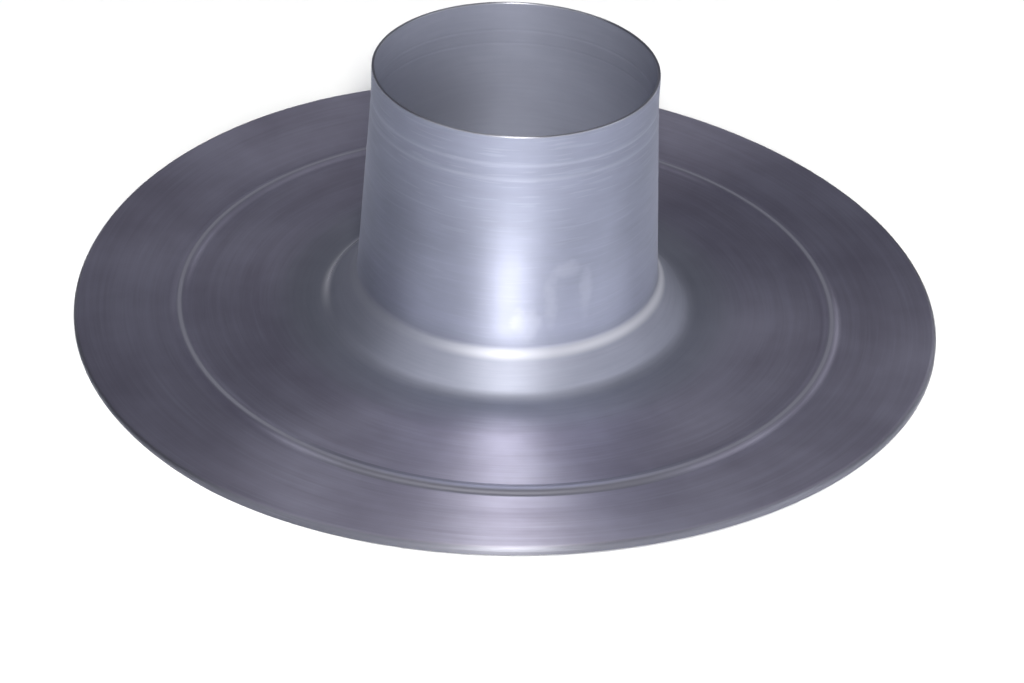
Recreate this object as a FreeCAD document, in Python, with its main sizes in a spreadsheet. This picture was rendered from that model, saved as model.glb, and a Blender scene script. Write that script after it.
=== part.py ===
# Spun roof vent flange: a round base flange and an open pipe collar, worked from one disc of sheet.
# Millimetres, +Z up the collar, origin on the axis in the plane that the flange lies on.
import FreeCAD
import Part
import math
import os
import Sketcher

# Driving dimensions, the cells of the sheet. Radii are of the outer skin unless a bore is meant.
dimensions = {
    "sheet_thickness": 1.2,
    "bore_radius": 55.3,
    "overall_height": 108.0,
    "band_height": 13.0,
    "band_bend": 60.0,
    "fold_radius": 61.3,
    "fold_height": 16.8,
    "fold_bend": 5.5,
    "foot_radius": 74.5,
    "foot_bend": 6.0,
    "bead_radius": 133.5,
    "bead_half_width": 3.4,
    "bead_apex": 1.95,
    "bead_foot_bend": 3.5,
    "bead_crest_bend": 4.5,
    "flange_radius": 176.0,
    "lip_height": 3.6,
    "lip_bend": 3.0,
}

# Corners of the outer skin from the collar's top edge to the lip's lower edge, before the bends are rounded.
# Each has its place out from the axis, its place up, and the bend that rounds it.
corners = [
    ("collar_edge", "bore_radius + sheet_thickness", "overall_height", None),
    ("band_end", "bore_radius + sheet_thickness", "overall_height - band_height", "band_bend"),
    ("fold", "fold_radius", "fold_height", "fold_bend"),
    ("foot", "foot_radius", "sheet_thickness", "foot_bend"),
    ("bead_inner_foot", "bead_radius - bead_half_width", "sheet_thickness", "bead_foot_bend"),
    ("bead_crest", "bead_radius", "sheet_thickness + bead_apex", "bead_crest_bend"),
    ("bead_outer_foot", "bead_radius + bead_half_width", "sheet_thickness", "bead_foot_bend"),
    ("lip_corner", "flange_radius", "lip_height", "lip_bend"),
    ("lip_edge", "flange_radius", "0", None),
]

# How a sketch counts the points of a line or an arc, and its own level axis
start_point = 1
end_point = 2
centre_point = 3
level_axis = -1
origin = (level_axis, start_point)
full_turn = 360.0


def value_of(expression):
    # sum of the named dimensions, each with the sign written before it
    total = 0.0
    sign = 1
    for word in expression.split():
        if word in "+-":
            sign = 1 if word == "+" else -1
        elif word in dimensions:
            total += sign * dimensions[word]
        else:
            total += sign * float(word)
    return total


def cell_expression(expression):
    words = expression.split()
    return " ".join("Dimensions." + word if word in dimensions else word for word in words)


def make_sheet(document):
    sheet = document.addObject("Spreadsheet::Sheet", "Dimensions")
    for row, (name, size) in enumerate(dimensions.items(), start=1):
        sheet.set("A%d" % row, name)
        sheet.set("B%d" % row, str(size))
        sheet.setAlias("B%d" % row, name)
    document.recompute()


def bind(sketch, constraint, name, expression):
    index = sketch.addConstraint(constraint)
    sketch.renameConstraint(index, name)
    sketch.setExpression("Constraints." + name, cell_expression(expression))


class Bend:
    # The rounding of one corner: its centre and radius, the ends of its arc, and which way it turns

    def __init__(self, centre, radius, run_in, run_out, turns_left):
        self.centre = centre
        self.radius = radius
        self.run_in = run_in
        self.run_out = run_out
        self.turns_left = turns_left

    def under_skin(self, thickness):
        # the same bend on the other face of the sheet: same centre, larger where the bend opens outwards
        radius = self.radius + (thickness if self.turns_left else -thickness)
        ratio = radius / self.radius
        run_in = self.centre + (self.run_in - self.centre) * ratio
        run_out = self.centre + (self.run_out - self.centre) * ratio
        return Bend(self.centre, radius, run_in, run_out, self.turns_left)

    def arc(self):
        first, last = (self.run_in, self.run_out) if self.turns_left else (self.run_out, self.run_in)
        first_ray = first - self.centre
        last_ray = last - self.centre
        circle = Part.Circle(self.centre, FreeCAD.Vector(0, 0, 1), self.radius)
        first_angle = math.atan2(first_ray.y, first_ray.x)
        last_angle = math.atan2(last_ray.y, last_ray.x)
        return Part.ArcOfCircle(circle, first_angle, last_angle)

    def in_point(self):
        return start_point if self.turns_left else end_point

    def out_point(self):
        return end_point if self.turns_left else start_point


def round_corner(before, corner, after, radius):
    back = (before - corner).normalize()
    onward = (after - corner).normalize()
    half_angle = back.getAngle(onward) / 2
    reach = radius / math.tan(half_angle)
    centre = corner + (back + onward).normalize() * (radius / math.sin(half_angle))
    turns_left = onward.cross(back).z > 0
    return Bend(centre, radius, corner + back * reach, corner + onward * reach, turns_left)


def draw_skin(sketch, first, bends, last):
    # straight runs and bends in turn along one face of the sheet, each tangent to the next
    stops = [first]
    for bend in bends:
        stops += [bend.run_in, bend.run_out]
    stops.append(last)
    runs = []
    for start, end in zip(stops[0::2], stops[1::2]):
        runs.append(sketch.addGeometry(Part.LineSegment(start, end), False))
    arcs = [sketch.addGeometry(bend.arc(), False) for bend in bends]
    for bend, arc, run_in, run_out in zip(bends, arcs, runs[:-1], runs[1:]):
        sketch.addConstraint(Sketcher.Constraint("Tangent", run_in, end_point, arc, bend.in_point()))
        sketch.addConstraint(Sketcher.Constraint("Tangent", arc, bend.out_point(), run_out, start_point))
    return runs, arcs


def draw_section(sketch):
    places = [FreeCAD.Vector(value_of(out), value_of(up), 0) for _, out, up, _ in corners]
    bend_names = [bend_name for _, _, _, bend_name in corners[1:-1]]
    bends = []
    for before, place, after, bend_name in zip(places[:-2], places[1:-1], places[2:], bend_names):
        bends.append(round_corner(before, place, after, value_of(bend_name)))
    thickness = dimensions["sheet_thickness"]
    inward = FreeCAD.Vector(-thickness, 0, 0)
    outer_runs, outer_arcs = draw_skin(sketch, places[0], bends, places[-1])
    under_bends = [bend.under_skin(thickness) for bend in bends]
    under_runs, under_arcs = draw_skin(sketch, places[0] + inward, under_bends, places[-1] + inward)

    # Cut edges of the sheet, at the collar's top and under the lip
    for run, end, place in ((0, start_point, places[0]), (-1, end_point, places[-1])):
        edge = sketch.addGeometry(Part.LineSegment(place, place + inward), False)
        sketch.addConstraint(Sketcher.Constraint("Coincident", outer_runs[run], end, edge, start_point))
        sketch.addConstraint(Sketcher.Constraint("Coincident", under_runs[run], end, edge, end_point))
        sketch.addConstraint(Sketcher.Constraint("Horizontal", edge))
        sketch.addConstraint(Sketcher.Constraint("Vertical", outer_runs[run]))
        sketch.addConstraint(Sketcher.Constraint("Vertical", under_runs[run]))

    # Both faces bend about the same centres, one sheet thickness apart
    for (name, _, _, bend_name), bend, under, arc, under_arc in zip(
            corners[1:-1], bends, under_bends, outer_arcs, under_arcs):
        sign = "+" if bend.turns_left else "-"
        under_radius = "%s %s sheet_thickness" % (bend_name, sign)
        sketch.addConstraint(Sketcher.Constraint("Coincident", arc, centre_point, under_arc, centre_point))
        bind(sketch, Sketcher.Constraint("Radius", arc, bend.radius), name + "_bend", bend_name)
        under_constraint = Sketcher.Constraint("Radius", under_arc, under.radius)
        bind(sketch, under_constraint, name + "_under_bend", under_radius)

    # Corners where the straight runs would meet, placed from the origin by the sheet's cells
    for number, (name, out, up, _) in enumerate(corners):
        place = places[number]
        if name == "collar_edge":
            target = (outer_runs[0], start_point)
        elif name == "lip_edge":
            target = (outer_runs[-1], end_point)
        else:
            target = (sketch.addGeometry(Part.Point(place), True), start_point)
            sketch.addConstraint(Sketcher.Constraint("PointOnObject", *target, outer_runs[number - 1]))
            sketch.addConstraint(Sketcher.Constraint("PointOnObject", *target, outer_runs[number]))
        follows_vertical_run = name in ("band_end", "lip_edge")
        if not follows_vertical_run:
            bind(sketch, Sketcher.Constraint("DistanceX", *origin, *target, place.x), name + "_out", out)
        if name == "lip_edge":
            sketch.addConstraint(Sketcher.Constraint("PointOnObject", *target, level_axis))
        else:
            bind(sketch, Sketcher.Constraint("DistanceY", *origin, *target, place.y), name + "_up", up)


def make_flange(document):
    body = document.addObject("PartDesign::Body", "VentFlange")
    body.Label = "vent_flange"
    upright = [plane for plane in body.Origin.OriginFeatures if plane.Role == "XZ_Plane"][0]
    section = body.newObject("Sketcher::SketchObject", "SheetSection")
    section.AttachmentSupport = [(upright, "")]
    section.MapMode = "FlatFace"
    draw_section(section)
    document.recompute()
    spin = body.newObject("PartDesign::Revolution", "Spin")
    spin.Profile = section
    spin.ReferenceAxis = (section, ["V_Axis"])
    spin.Angle = full_turn
    return body


document = FreeCAD.newDocument("RoofVentFlange")
make_sheet(document)
flange = make_flange(document)
document.recompute()

for item in document.Objects:
    if "Invalid" in item.State or "Error" in item.State:
        raise RuntimeError("%s did not build: %s" % (item.Label, item.State))
if flange.Shape.isNull() or not flange.Shape.isValid():
    raise RuntimeError("%s has no sound shape" % flange.Label)

os.makedirs("parts", exist_ok=True)
flange.Shape.exportStep("parts/%s.step" % flange.Label)
box = flange.Shape.optimalBoundingBox()
print("%s: %.1f x %.1f x %.1f mm, %.0f mm3, %d faces" % (
    flange.Label, box.XLength, box.YLength, box.ZLength, flange.Shape.Volume, len(flange.Shape.Faces)))
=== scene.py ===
import bpy
import math
from mathutils import Matrix, Vector


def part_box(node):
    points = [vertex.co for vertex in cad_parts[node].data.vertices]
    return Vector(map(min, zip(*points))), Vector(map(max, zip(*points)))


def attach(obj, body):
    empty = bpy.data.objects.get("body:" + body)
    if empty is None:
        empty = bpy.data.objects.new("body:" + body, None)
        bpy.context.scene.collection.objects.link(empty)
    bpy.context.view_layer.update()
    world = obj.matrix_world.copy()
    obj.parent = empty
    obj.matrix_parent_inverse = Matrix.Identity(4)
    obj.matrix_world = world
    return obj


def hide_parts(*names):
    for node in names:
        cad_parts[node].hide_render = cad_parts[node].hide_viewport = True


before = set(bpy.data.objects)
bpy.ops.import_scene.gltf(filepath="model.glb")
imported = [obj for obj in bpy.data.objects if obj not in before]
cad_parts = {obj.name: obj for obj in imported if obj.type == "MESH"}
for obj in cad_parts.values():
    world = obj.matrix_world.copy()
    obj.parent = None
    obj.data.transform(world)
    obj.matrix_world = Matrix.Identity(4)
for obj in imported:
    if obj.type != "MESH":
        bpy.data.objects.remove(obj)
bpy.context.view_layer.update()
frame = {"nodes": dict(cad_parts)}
scene = bpy.context.scene
scene.view_settings.view_transform = "Standard"
print("frame loaded:", ", ".join(frame["nodes"]))


class Socket:  # a shader value that Python operators can work on
    def __init__(self, tree, value):
        self.tree = tree
        self.value = value

    def maths(self, operation, *entries):
        node = self.tree.nodes.new("ShaderNodeMath")
        node.operation = operation
        for place, entry in zip(node.inputs, entries):
            feed(self.tree, place, entry)
        return Socket(self.tree, node.outputs[0])

    def __add__(self, other):
        return self.maths("ADD", self, other)

    def __radd__(self, other):
        return self.maths("ADD", other, self)

    def __sub__(self, other):
        return self.maths("SUBTRACT", self, other)

    def __rsub__(self, other):
        return self.maths("SUBTRACT", other, self)

    def __mul__(self, other):
        return self.maths("MULTIPLY", self, other)

    def __rmul__(self, other):
        return self.maths("MULTIPLY", other, self)

    def __truediv__(self, other):
        return self.maths("DIVIDE", self, other)

    def __rtruediv__(self, other):
        return self.maths("DIVIDE", other, self)

    def size(self):
        return self.maths("ABSOLUTE", self)

    def root(self):
        return self.maths("SQRT", self)


def feed(tree, place, entry):  # links a shader value to a node's socket, or sets a plain one there
    if isinstance(entry, Socket):
        tree.links.new(entry.value, place)
    else:
        place.default_value = entry


class Finish:  # one material and the nodes that make it
    def __init__(self, name):
        self.material = bpy.data.materials.new(name)
        self.material.use_nodes = True
        self.tree = self.material.node_tree
        self.tree.nodes.clear()

    def node(self, kind, settings=None, sockets=None, output=0):
        made = self.tree.nodes.new(kind)
        for name, setting in (settings or {}).items():
            setattr(made, name, setting)
        for name, entry in (sockets or {}).items():
            feed(self.tree, made.inputs[name], entry)
        return Socket(self.tree, made.outputs[output])

    def mix(self, factor, first, second):  # the numbers are those of the node's colour sockets
        sockets = {0: factor, 6: first, 7: second}
        return self.node("ShaderNodeMix", {"data_type": "RGBA"}, sockets, output=2)

    def noise(self, vector, scale, detail, roughness):
        return self.node("ShaderNodeTexNoise", sockets={
            "Vector": vector, "Scale": scale, "Detail": detail, "Roughness": roughness})

    def show(self, shader):
        output = self.tree.nodes.new("ShaderNodeOutputMaterial")
        self.tree.links.new(shader.value, output.inputs["Surface"])
        return self.material


# Sheet of the flange, spun to shape

cadLow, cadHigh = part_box("vent_flange")
sheetForm = {  # metres, corners of the outer face before they are bent round
    "thickness": 0.0012,
    "boreRadius": 0.0553,
    "height": cadHigh.z,
    "bandHeight": 0.013,
    "foldRadius": 0.0613,
    "foldHeight": 0.0168,
    "foldBend": 0.0035,
    "footRadius": 0.0745,
    "footBend": 0.008,
    "beadRadius": 0.1335,
    "beadHalfWidth": 0.0034,
    "beadApex": 0.00195,
    "beadFootBend": 0.0035,
    "beadCrestBend": 0.0045,
    "flangeRadius": min(cadHigh.x, cadHigh.y, -cadLow.x, -cadLow.y),
    "lipHeight": 0.0036,
    "lipBend": 0.002,
    "wavesRound": 2,  # of the thin rim
    "waveLift": 0.0014,  # up on average
    "waveRise": 0.003,  # up and down from there
    "waveHighAzimuth": math.radians(22),  # from the front towards the right
    "cutEdgeRounding": 0.00045,
    "spinRings": (0.0123, 0.0183),  # depth below the collar's edge
    "spinRingRise": 0.00012,
    "spinRingHalfWidth": 0.0009,
    "spinRingBend": 0.002,
    "longestRun": 0.008,
    "bendStep": math.radians(5),
    "segments": 300,
}


def outerCorners():  # (place, bend) from the collar's edge down and out to the lip
    form = sheetForm
    top = form["height"]
    collar = form["boreRadius"] + form["thickness"]
    flat = form["thickness"]
    bandEnd = top - form["bandHeight"]
    taper = (form["foldRadius"] - collar) / (bandEnd - form["foldHeight"])
    corners = [((collar, top), form["cutEdgeRounding"])]
    for depth in form["spinRings"]:
        for offset, rise in ((-1, 0), (0, 1), (1, 0)):
            height = top - depth - offset * form["spinRingHalfWidth"]
            wall = collar + max(0.0, bandEnd - height) * taper
            corners.append(((wall + rise * form["spinRingRise"], height), form["spinRingBend"]))
    bead = form["beadRadius"]
    corners += [
        ((form["foldRadius"], form["foldHeight"]), form["foldBend"]),
        ((form["footRadius"], flat), form["footBend"]),
        ((bead - form["beadHalfWidth"], flat), form["beadFootBend"]),
        ((bead, flat + form["beadApex"]), form["beadCrestBend"]),
        ((bead + form["beadHalfWidth"], flat), form["beadFootBend"]),
        ((form["flangeRadius"], form["lipHeight"]), form["lipBend"]),
        ((form["flangeRadius"], cadLow.z), form["cutEdgeRounding"]),
    ]
    return [(Vector(place), bend) for place, bend in corners]


def underSideOf(run):  # towards the under face, as the section is walked from the collar to the lip
    return Vector((run.y, -run.x))


def closedSection():  # outer corners, then those of the under face on the way back
    outer = outerCorners()
    thickness = sheetForm["thickness"]
    places = [place for place, bend in outer]
    runs = [(after - before).normalized() for before, after in zip(places, places[1:])]
    under = []
    for number, (place, bend) in enumerate(outer):
        runIn = runs[max(number - 1, 0)]
        runOut = runs[min(number, len(runs) - 1)]
        inSide = underSideOf(runIn)
        outSide = underSideOf(runOut)
        shift = (inSide + outSide) * (thickness / (1 + inSide.dot(outSide)))
        if 0 < number < len(outer) - 1:  # both faces bend about one centre
            bend += thickness if runIn.cross(runOut) > 0 else -thickness
        under.append((place + shift, bend))
    return outer + under[::-1]


def bentSection():  # places and normals round the closed section
    corners = closedSection()
    places = []
    normals = []
    for number, (place, bend) in enumerate(corners):
        before = (corners[number - 1][0] - place).normalized()
        after = (corners[(number + 1) % len(corners)][0] - place).normalized()
        half = before.angle(after) / 2
        centre = place + (before + after).normalized() * (bend / math.sin(half))
        inRay = place + before * (bend / math.tan(half)) - centre
        turn = math.pi - 2 * half
        side = 1 if before.cross(after) < 0 else -1
        steps = max(1, math.ceil(turn / sheetForm["bendStep"]))
        for step in range(steps + 1):
            ray = Matrix.Rotation(side * turn * step / steps, 2) @ inRay
            places.append(centre + ray)
            normals.append(ray.normalized() * -side)
    return places, normals


def fillRuns(places, normals):  # cuts long straight runs into shorter ones
    filledPlaces = []
    filledNormals = []
    for number, place in enumerate(places):
        onward = (number + 1) % len(places)
        pieces = max(1, math.ceil((places[onward] - place).length / sheetForm["longestRun"]))
        for piece in range(pieces):
            share = piece / pieces
            filledPlaces.append(place.lerp(places[onward], share))
            filledNormals.append(normals[number].lerp(normals[onward], share).normalized())
    return filledPlaces, filledNormals


def waved(place, normal, angle):  # place and normal at this angle, with the wave of the zone outside the bead
    form = sheetForm
    radius, height = place
    start = form["beadRadius"] + form["beadHalfWidth"]
    width = form["flangeRadius"] - start
    share = max(0.0, (radius - start) / width)
    fromHigh = form["wavesRound"] * (angle + math.pi / 2 - form["waveHighAzimuth"])
    wave = form["waveLift"] + form["waveRise"] * math.cos(fromHigh)
    slopeOut = wave / width if share else 0.0
    slopeRound = -form["wavesRound"] * share * form["waveRise"] * math.sin(fromHigh) / radius
    if wave < 0:  # pressed down on the floor, so the lip closes up
        stretch = 1 + share * wave / form["lipHeight"]
        give = height / form["lipHeight"]
        waveHeight = height * stretch
    else:
        stretch = 1.0
        give = 1.0
        waveHeight = height + share * wave
    up = normal.y / stretch
    out = normal.x - up * give * slopeOut
    sideways = -up * give * slopeRound
    cosine, sine = math.cos(angle), math.sin(angle)
    waveNormal = Vector((out * cosine - sideways * sine, out * sine + sideways * cosine, up))
    return (radius * cosine, radius * sine, waveHeight), waveNormal.normalized()


# Spun sheet metal

spunMetal = {
    # colours, in pairs the dull and the bright end of the tone
    "collarColours": ((0.422, 0.447, 0.558, 1), (0.53, 0.56, 0.697, 1)),
    "collarTopColour": (0.30, 0.32, 0.405, 1),
    "collarTopShare": 0.35,
    "flangeColours": ((0.425, 0.405, 0.515, 1), (0.62, 0.61, 0.75, 1)),
    "skirtColours": ((0.26, 0.275, 0.34, 1), (0.33, 0.345, 0.425, 1)),
    # painted highlight, on the fold and on the foot at the back left
    "paintedHighlightColour": (0.56, 0.57, 0.63, 1),
    # painted shade, the dark band on the bead at the front
    "paintedBeadShadeColour": (0.37, 0.37, 0.445, 1),
    # painted highlight, the light line on the bead's crest
    "paintedCrestHighlight": (0.60, 0.60, 0.70, 1),
    # painted shade: the lip is darker all round, to darken its bend
    "lipColour": (0.25, 0.254, 0.305, 1),
    "cutEdgeColour": (0.42, 0.43, 0.50, 1),
    "innerColours": ((0.252, 0.266, 0.342, 1), (0.333, 0.351, 0.45, 1)),  # at the edge, and deep below, where the paler colour is painted light from the floor
    "innerDepth": 0.07,
    "innerToneShare": 0.3,
    "paleColour": (0.65, 0.68, 0.79, 1),  # of the spinning rings, pale patches and scratches
    # polish
    "collarTopRoughness": 0.93,
    "collarFootRoughness": 0.64,
    "collarFootHeight": 0.04,
    "flangeRoughness": 0.45,
    "outerRoughness": 0.49,  # outside the bead
    "skirtRoughness": 0.73,
    "foldRoughness": 0.66,
    "lipRoughness": 0.52,
    "cutEdgeRoughness": 0.45,
    "innerRoughness": 0.9,  # side that lay against the former
    "innerMetallic": 0.55,
    "lineRoughness": 0.06,  # change from line to line
    "bandRoughness": 0.04,
    "anisotropy": 0.88,
    "acrossTheSpin": 0.25,  # turn of the wide highlight, a quarter puts it across the spin lines
    # polish of the pressed finish, on the fold, skirt, foot and bead
    "pressedRoughness": 0.58,
    "beadRoughness": 0.40,
    "footArcRoughness": 0.25,
    "pressedMetallic": 0.9,
    "pressedAnisotropy": 0.4,
    # where finishes start or end, metres from the corner or edge they belong to
    "flangeStart": (-0.006, 0.004),
    "outerStart": (-0.01, 0.015),
    "lipStart": (-0.0018, -0.0004),
    "cutEdgeStart": (-0.0007, -0.0003),
    "skirtReach": 0.018,
    "skirtCore": 0.4,  # share of the reach
    "pressedStart": (-0.0006, 0.0006),
    "pressedEnd": (0.028, 0.004),  # past the foot: where it has faded out, and where it is still whole
    "foldOut": 0.0014,
    "foldDown": 0.0022,
    "foldReach": 0.0034,
    # painted highlight on the fold, stronger towards the right
    "paintedHighlightAtLeft": 0.1,
    "paintedHighlightRises": ((0.55, -0.04, -0.005), (0.35, 0.018, 0.034)),  # share, and where along x it comes in
    "beadBand": (1.3, 1.0),  # in half widths of the bead
    "beadLine": (0.45, 0.1),
    "bandSides": (0.09, 0.05),  # the painted shade, a dark band, is at the front only, this far to each side
    "bandBack": (0.0, -0.03),  # and this far back
    "footArc": {"in": 0.0005, "height": 0.0027, "reach": 0.0035},  # painted highlight, a bright stretch of the foot at the back left
    "footArcLeft": (-0.04, -0.055),  # where along x it comes in
    "footArcBack": (-0.025, 0.01),  # and along y
    # lines, bands and scratches run round the axis
    "lines": {"perMetre": 700, "around": 2.5, "detail": 2.0},
    "bands": {"perMetre": 90, "around": 1.2, "detail": 3.0},
    "scratches": {"perMetre": 1100, "around": 4.0, "detail": 0.0},
    "spunNoiseRoughness": 0.6,
    "noiseMiddle": 0.5,
    "clouds": {"scale": 16, "detail": 4.0, "roughness": 0.55},
    "ragged": {"scale": 150, "detail": 2.0, "roughness": 0.5},  # edges of the pale patches
    "lineShare": 0.18,  # of the tone
    "bandShare": 0.22,
    "cloudShare": 0.6,
    "toneEnds": (0.31, 0.69),
    "lineDepth": 0.00002,
    "lineStrength": 0.5,
    "ringReach": 0.0016,  # of the paler lines on the two spinning rings
    "ringShare": 0.22,
    "palePatches": (  # pale patches: degrees from the front towards the right, height, half width, half height
        (8, 0.027, 0.0070, 0.0090),
        (17, 0.037, 0.0035, 0.0130),
        (24, 0.050, 0.0080, 0.0040),
        (31, 0.038, 0.0035, 0.0140),
    ),
    "patchRagged": 2.4,
    "patchEnds": (2.3, 1.2),
    "patchShare": 0.43,
    "scratchEnds": (0.62, 0.74),
    "scratchShare": 0.13,
}


def makeSpunMetal():
    look = spunMetal
    form = sheetForm
    finish = Finish("spunAluminium")
    place = finish.node("ShaderNodeTexCoord", output="Object")
    x = finish.node("ShaderNodeSeparateXYZ", sockets={"Vector": place}, output="X")
    y = finish.node("ShaderNodeSeparateXYZ", sockets={"Vector": place}, output="Y")
    z = finish.node("ShaderNodeSeparateXYZ", sockets={"Vector": place}, output="Z")
    radius = (x * x + y * y).root()
    across = radius - z  # grows down the collar and out over the flange
    belowEdge = z - form["height"]
    inner = finish.node("ShaderNodeAttribute", {"attribute_name": "innerFace"}, output="Fac")
    outer = 1.0 - inner

    def spunNoise(perMetre, around, detail):
        vector = finish.node("ShaderNodeCombineXYZ", sockets={
            "X": across * perMetre, "Y": x / radius * around, "Z": y / radius * around})
        return finish.noise(vector, 1.0, detail, look["spunNoiseRoughness"])

    def rise(value, low, high):  # 0 up to low, 1 from high on, also where high is the lesser
        return finish.node("ShaderNodeMapRange", {"interpolation_type": "SMOOTHSTEP"}, {
            "Value": value, "From Min": low, "From Max": high})

    def nearRing(ringRadius, ringHeight, reach, core=0.0):  # 1 on this ring and in its core, 0 at its reach
        out = radius - ringRadius
        up = z - ringHeight
        return rise((out * out + up * up).root(), reach, reach * core)

    def blend(share, first, second):
        return first + share * (second - first)

    lines = spunNoise(**look["lines"])
    bands = spunNoise(**look["bands"])
    clouds = finish.noise(place, **look["clouds"])
    ragged = finish.noise(place, **look["ragged"])
    scratches = rise(spunNoise(**look["scratches"]), *look["scratchEnds"])
    mottle = look["lineShare"] * lines + look["bandShare"] * bands + look["cloudShare"] * clouds
    tone = rise(mottle, *look["toneEnds"])

    # Where each part of the sheet lies
    pastFold = radius - form["foldRadius"]
    pastFoot = radius - form["footRadius"]
    pastBead = radius - form["beadRadius"]
    downCollar = rise(z, form["height"], look["collarFootHeight"])
    deepInside = rise(z, form["height"], form["height"] - look["innerDepth"])
    cutEdge = rise(belowEdge, *look["cutEdgeStart"])
    onFlange = rise(pastFoot, *look["flangeStart"])
    outside = rise(pastBead, *look["outerStart"])
    lip = rise(radius - form["flangeRadius"], *look["lipStart"])
    skirtRadius = (form["foldRadius"] + form["footRadius"]) / 2
    skirt = nearRing(skirtRadius, form["foldHeight"] / 2, look["skirtReach"], look["skirtCore"])
    foldRadius = form["foldRadius"] + look["foldOut"]
    fold = nearRing(foldRadius, form["foldHeight"] - look["foldDown"], look["foldReach"])
    # painted highlight on the fold, stronger towards the right
    paintedHighlightRises = [share * rise(x, low, high) for share, low, high in look["paintedHighlightRises"]]
    paintedFoldHighlight = fold * (look["paintedHighlightAtLeft"] + sum(paintedHighlightRises))
    # painted highlight on the foot, at the back left
    arc = look["footArc"]
    footArc = nearRing(form["footRadius"] - arc["in"], arc["height"], arc["reach"])
    footArc = footArc * rise(x, *look["footArcLeft"]) * rise(y, *look["footArcBack"])

    # The bead has painted shade, a dark band at the front, and a painted highlight, a light line on its crest
    # all round
    halfWidths = pastBead.size() / form["beadHalfWidth"]
    front = rise(x.size(), *look["bandSides"]) * rise(y, *look["bandBack"])
    beadBand = front * rise(halfWidths, *look["beadBand"])
    beadLine = rise(halfWidths, *look["beadLine"])
    bead = beadBand + (1.0 - front) * beadLine
    drawn = rise(pastFold, *look["pressedStart"]) * rise(pastFoot, *look["pressedEnd"])
    pressed = (drawn + bead) * outer

    rings = sum(rise((belowEdge + depth).size(), look["ringReach"], 0.0) for depth in form["spinRings"])
    patches = []
    for azimuth, height, halfWidth, halfHeight in look["palePatches"]:
        cosine, sine = math.cos(math.radians(azimuth)), math.sin(math.radians(azimuth))
        beside = (x * cosine + y * sine) / halfWidth
        above = (z - height) / halfHeight
        facing = rise(x * sine - y * cosine, 0.0, form["boreRadius"] / 2)
        fromMiddle = beside * beside + above * above + look["patchRagged"] * ragged
        patches.append(facing * rise(fromMiddle, *look["patchEnds"]))
    palePatches = sum(patches)

    # Spun finish, on the collar, the flange, the lip and inside
    collarColour = finish.mix(tone, *look["collarColours"])
    colour = finish.mix(onFlange, collarColour, finish.mix(tone, *look["flangeColours"]))
    colour = finish.mix(look["collarTopShare"] * (1.0 - downCollar), colour, look["collarTopColour"])
    # painted shade: darker all round the lip
    colour = finish.mix(lip, colour, look["lipColour"])
    # painted light: paler deep inside
    innerColour = finish.mix(deepInside, *look["innerColours"])
    colour = finish.mix(inner * (1.0 - look["innerToneShare"] * tone), colour, innerColour)
    # painted highlight on the fold
    colour = finish.mix(paintedFoldHighlight, colour, look["paintedHighlightColour"])
    colour = finish.mix(cutEdge, colour, look["cutEdgeColour"])
    colour = finish.mix(look["ringShare"] * rings * outer, colour, look["paleColour"])
    colour = finish.mix(look["patchShare"] * palePatches * outer, colour, look["paleColour"])
    colour = finish.mix(look["scratchShare"] * scratches * outer, colour, look["paleColour"])
    roughness = blend(downCollar, look["collarTopRoughness"], look["collarFootRoughness"])
    roughness = blend(onFlange, roughness, look["flangeRoughness"])
    roughness = blend(outside, roughness, look["outerRoughness"])
    roughness = blend(skirt, roughness, look["skirtRoughness"])
    roughness = blend(fold, roughness, look["foldRoughness"])
    roughness = blend(lip, roughness, look["lipRoughness"])
    roughness = blend(inner, roughness, look["innerRoughness"])
    roughness = blend(cutEdge, roughness, look["cutEdgeRoughness"])
    roughness = roughness + (bands - look["noiseMiddle"]) * look["bandRoughness"]
    roughness = roughness + (lines - look["noiseMiddle"]) * look["lineRoughness"]
    bump = finish.node("ShaderNodeBump", sockets={
        "Strength": look["lineStrength"], "Distance": look["lineDepth"], "Height": lines})
    spun = finish.node("ShaderNodeBsdfPrincipled", sockets={
        "Base Color": colour,
        "Metallic": blend(cutEdge, blend(inner, 1.0, look["innerMetallic"]), 1.0),
        "Roughness": roughness,
        "Anisotropic": look["anisotropy"],
        "Anisotropic Rotation": look["acrossTheSpin"],
        "Normal": bump,
    })

    # Pressed finish, less drawn out across the spin
    pressedColour = finish.mix(tone, *look["skirtColours"])
    # painted highlight on the fold
    pressedColour = finish.mix(paintedFoldHighlight, pressedColour, look["paintedHighlightColour"])
    # painted highlight on the foot at the back left
    pressedColour = finish.mix(footArc, pressedColour, look["paintedHighlightColour"])
    # painted shade on the bead at the front
    pressedColour = finish.mix(beadBand, pressedColour, look["paintedBeadShadeColour"])
    # painted highlight on the bead's crest
    pressedColour = finish.mix(beadLine, pressedColour, look["paintedCrestHighlight"])
    pressedRoughness = blend(bead, look["pressedRoughness"], look["beadRoughness"])
    pressedRoughness = blend(footArc, pressedRoughness, look["footArcRoughness"])
    pressedSheet = finish.node("ShaderNodeBsdfPrincipled", sockets={
        "Base Color": pressedColour,
        "Metallic": look["pressedMetallic"],
        "Roughness": pressedRoughness,
        "Anisotropic": look["pressedAnisotropy"],
        "Anisotropic Rotation": look["acrossTheSpin"],
        "Normal": bump,
    })
    return finish.show(finish.node("ShaderNodeMixShader", sockets={0: pressed, 1: spun, 2: pressedSheet}))


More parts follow.
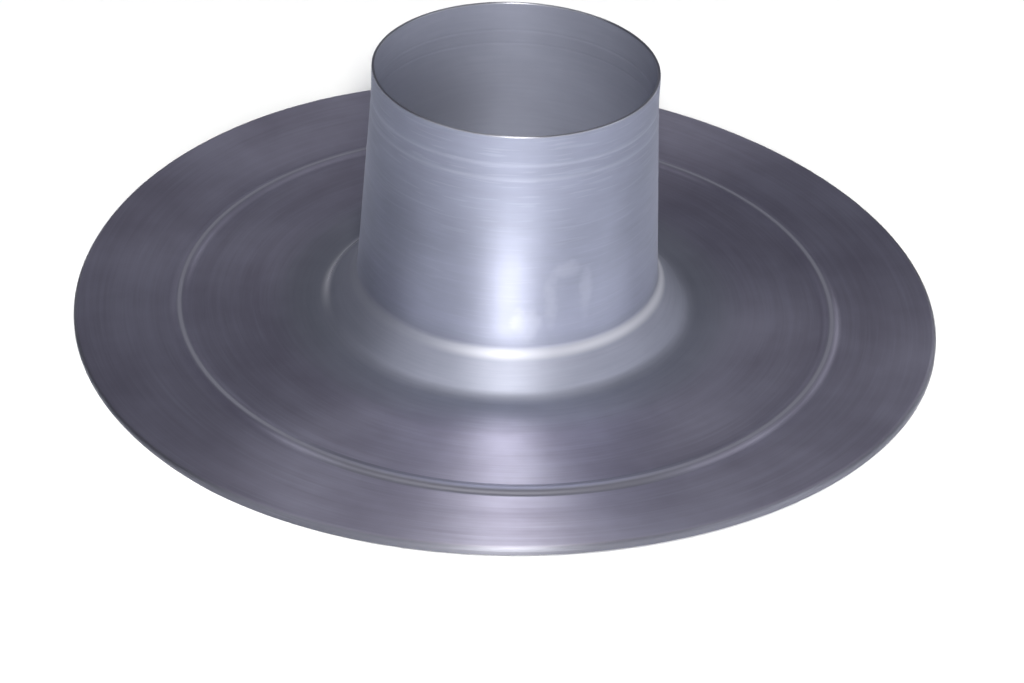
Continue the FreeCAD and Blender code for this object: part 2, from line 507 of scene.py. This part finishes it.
def spinSheet(metal):
    places, normals = fillRuns(*bentSection())
    around = sheetForm["segments"]
    vertices = []
    vertexNormals = []
    for place, normal in zip(places, normals):
        for segment in range(around):
            vertex, vertexNormal = waved(place, normal, math.tau * segment / around)
            vertices.append(vertex)
            vertexNormals.append(vertexNormal)
    faces = []
    for ring in range(len(places)):
        nextRing = (ring + 1) % len(places)
        for segment in range(around):
            nextSegment = (segment + 1) % around
            faces.append((ring * around + segment, nextRing * around + segment,
                          nextRing * around + nextSegment, ring * around + nextSegment))
    mesh = bpy.data.meshes.new("spunFlange")
    mesh.from_pydata(vertices, [], faces)
    innerFace = mesh.attributes.new("innerFace", "FLOAT", "POINT")  # 1 on the second half of the section
    innerRings = [0.0 if ring < len(places) // 2 else 1.0 for ring in range(len(places))]
    innerFace.data.foreach_set("value", [share for share in innerRings for segment in range(around)])
    mesh.shade_smooth()
    mesh.normals_split_custom_set_from_vertices(vertexNormals)
    mesh.materials.append(metal)
    flange = bpy.data.objects.new("spunFlange", mesh)
    scene.collection.objects.link(flange)
    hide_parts("vent_flange")
    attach(flange, "root")
    print("spun flange:", len(places), "rings,", len(faces) * 2, "triangles")


spinSheet(makeSpunMetal())

# Floor

floorLook = {"size": 8.0, "drop": 0.0003, "colour": (0.97, 0.98, 1, 1), "roughness": 0.9}


def makeFloor():
    half = floorLook["size"] / 2
    corners = [(-half, -half), (half, -half), (half, half), (-half, half)]
    mesh = bpy.data.meshes.new("floor")
    mesh.from_pydata([(x, y, -floorLook["drop"]) for x, y in corners], [], [(0, 1, 2, 3)])
    finish = Finish("paleFloor")
    mesh.materials.append(finish.show(finish.node("ShaderNodeBsdfDiffuse", sockets={
        "Color": floorLook["colour"],
        "Roughness": floorLook["roughness"],
    })))
    floor = bpy.data.objects.new("floor", mesh)
    scene.collection.objects.link(floor)


makeFloor()

# Light

lamps = {  # degrees, metres and watts
    "key": {"azimuth": 2, "elevation": 36.7, "distance": 1.3, "size": (0.15, 0.15), "power": 12.6,
            "tint": (1, 0.98, 0.91)},
    "front": {"azimuth": 5, "elevation": 14, "distance": 2.2, "size": (2.4, 1.0), "power": 15.7},
    "right": {"azimuth": 62, "elevation": 14, "distance": 2.2, "size": (2.4, 1.0), "power": 21.0},
    "farRight": {"azimuth": 119, "elevation": 10, "distance": 2.2, "size": (2.4, 0.7), "power": 5.6},
    "left": {"azimuth": -48, "elevation": 35, "distance": 2.2, "size": (1.8, 0.8), "power": 12.2},
    "back": {"azimuth": 200, "elevation": 10, "distance": 2.2, "size": (2.4, 0.7), "power": 1.12},
}
worldLight = {"colour": (0.145, 0.146, 0.164, 1), "strength": 1.0}


def aroundCentre(azimuth, elevation, distance):  # azimuth 0 is in front, 90 on the right
    a, e = math.radians(azimuth), math.radians(elevation)
    return Vector((math.sin(a) * math.cos(e), -math.cos(a) * math.cos(e), math.sin(e))) * distance


def makeLamps():
    for name, lamp in lamps.items():
        light = bpy.data.lights.new(name, "AREA")
        light.shape = "RECTANGLE"
        light.size, light.size_y = lamp["size"]
        light.energy = lamp["power"]
        light.color = lamp.get("tint", (1, 1, 1))
        holder = bpy.data.objects.new(name, light)
        holder.location = aroundCentre(lamp["azimuth"], lamp["elevation"], lamp["distance"])
        holder.rotation_euler = holder.location.to_track_quat("Z", "Y").to_euler()
        scene.collection.objects.link(holder)
    world = bpy.data.worlds.new("studio")
    world.use_nodes = True
    background = world.node_tree.nodes["Background"]
    background.inputs["Color"].default_value = worldLight["colour"]
    background.inputs["Strength"].default_value = worldLight["strength"]
    scene.world = world


makeLamps()

# Camera

cameraPlace = {  # degrees and metres, lens and sensor in millimetres
    "elevation": 33.37,
    "roll": 2.596,
    "distance": 1.1417,
    "right": 0.0024,
    "up": -0.0172,
    "lens": 97.55,
    "sensor": 36.0,
}


def makeCamera():
    back = aroundCentre(0, cameraPlace["elevation"], 1.0)
    level = Vector((1, 0, 0))
    upright = back.cross(level)
    roll = math.radians(cameraPlace["roll"])
    right = level * math.cos(roll) + upright * math.sin(roll)
    up = upright * math.cos(roll) - level * math.sin(roll)
    data = bpy.data.cameras.new("camera")
    data.lens = cameraPlace["lens"]
    data.sensor_width = cameraPlace["sensor"]
    camera = bpy.data.objects.new("camera", data)
    place = right * cameraPlace["right"] + up * cameraPlace["up"] + back * cameraPlace["distance"]
    camera.matrix_world = Matrix.Translation(place) @ Matrix((right, up, back)).transposed().to_4x4()
    scene.collection.objects.link(camera)
    scene.camera = camera


makeCamera()
print("floor, light and camera in place")
